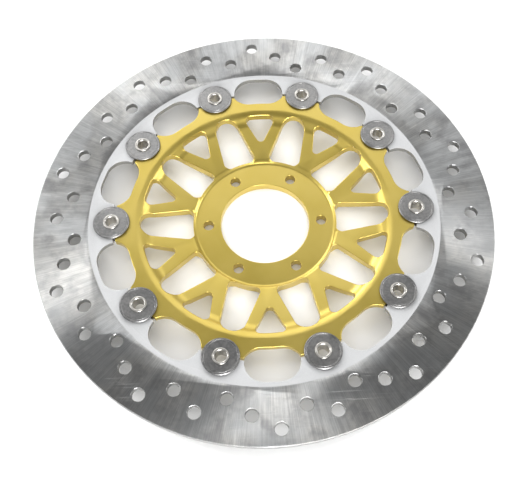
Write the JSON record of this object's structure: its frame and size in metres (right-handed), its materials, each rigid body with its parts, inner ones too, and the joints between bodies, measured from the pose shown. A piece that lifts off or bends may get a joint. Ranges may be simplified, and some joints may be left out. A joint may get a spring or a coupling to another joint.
{
  "type": "floating brake disc rotor",
  "caption": "Floating brake disc: drilled steel ring held by hollow bobbins on a dished gold carrier with Y-shaped spokes, a centre bore and a bolt circle.",
  "frame": {"origin": "centre of the hub's flat back face, on the disc's axis", "axes": "+Z along the wheel axis, out of the hub's front; +X through bobbin_01 and the first bolt hole"},
  "size_m": [0.296, 0.296, 0.0184],
  "materials": {
    "gold_anodised": "satin gold anodised over fine turning marks",
    "ring_steel": "stainless: pad faces finely ground, lugs matt and pale",
    "bobbin_steel": "bright plated, with a polished rolled lip",
    "washer_steel": "satin dark grey",
    "spring_steel": "dull spring steel"
  },
  "bodies": {
    "carrier": {"carrier": "gold_anodised"},
    "ring": {"friction_ring": "ring_steel"},
    "bobbin_01": {"bobbin_01": "bobbin_steel", "washer_01": "washer_steel", "wave_washer_01": "spring_steel"},
    "bobbin_02": {"bobbin_02": "bobbin_steel", "washer_02": "washer_steel", "wave_washer_02": "spring_steel"},
    "bobbin_03": {"bobbin_03": "bobbin_steel", "washer_03": "washer_steel", "wave_washer_03": "spring_steel"},
    "bobbin_04": {"bobbin_04": "bobbin_steel", "washer_04": "washer_steel", "wave_washer_04": "spring_steel"},
    "bobbin_05": {"bobbin_05": "bobbin_steel", "washer_05": "washer_steel", "wave_washer_05": "spring_steel"},
    "bobbin_06": {"bobbin_06": "bobbin_steel", "washer_06": "washer_steel", "wave_washer_06": "spring_steel"},
    "bobbin_07": {"bobbin_07": "bobbin_steel", "washer_07": "washer_steel", "wave_washer_07": "spring_steel"},
    "bobbin_08": {"bobbin_08": "bobbin_steel", "washer_08": "washer_steel", "wave_washer_08": "spring_steel"},
    "bobbin_09": {"bobbin_09": "bobbin_steel", "washer_09": "washer_steel", "wave_washer_09": "spring_steel"},
    "bobbin_10": {"bobbin_10": "bobbin_steel", "washer_10": "washer_steel", "wave_washer_10": "spring_steel"}
  },
  "joints": [
    {"name": "ring_float", "type": "slide", "parent": "carrier", "child": "ring", "axis": [0, 0, 1], "range_m": [-0.0002, 0.0002]},
    {"name": "bobbin_01_turn", "type": "hinge", "parent": "carrier", "child": "bobbin_01", "pos_m": [0.0984, 0, 0.0135], "axis": [0, 0, 1], "continuous": true},
    {"name": "bobbin_02_turn", "type": "hinge", "parent": "carrier", "child": "bobbin_02", "pos_m": [0.07961, 0.05784, 0.0135], "axis": [0, 0, 1], "continuous": true},
    {"name": "bobbin_03_turn", "type": "hinge", "parent": "carrier", "child": "bobbin_03", "pos_m": [0.03041, 0.09358, 0.0135], "axis": [0, 0, 1], "continuous": true},
    {"name": "bobbin_04_turn", "type": "hinge", "parent": "carrier", "child": "bobbin_04", "pos_m": [-0.03041, 0.09358, 0.0135], "axis": [0, 0, 1], "continuous": true},
    {"name": "bobbin_05_turn", "type": "hinge", "parent": "carrier", "child": "bobbin_05", "pos_m": [-0.07961, 0.05784, 0.0135], "axis": [0, 0, 1], "continuous": true},
    {"name": "bobbin_06_turn", "type": "hinge", "parent": "carrier", "child": "bobbin_06", "pos_m": [-0.0984, 0, 0.0135], "axis": [0, 0, 1], "continuous": true},
    {"name": "bobbin_07_turn", "type": "hinge", "parent": "carrier", "child": "bobbin_07", "pos_m": [-0.07961, -0.05784, 0.0135], "axis": [0, 0, 1], "continuous": true},
    {"name": "bobbin_08_turn", "type": "hinge", "parent": "carrier", "child": "bobbin_08", "pos_m": [-0.03041, -0.09358, 0.0135], "axis": [0, 0, 1], "continuous": true},
    {"name": "bobbin_09_turn", "type": "hinge", "parent": "carrier", "child": "bobbin_09", "pos_m": [0.03041, -0.09358, 0.0135], "axis": [0, 0, 1], "continuous": true},
    {"name": "bobbin_10_turn", "type": "hinge", "parent": "carrier", "child": "bobbin_10", "pos_m": [0.07961, -0.05784, 0.0135], "axis": [0, 0, 1], "continuous": true}
  ]
}
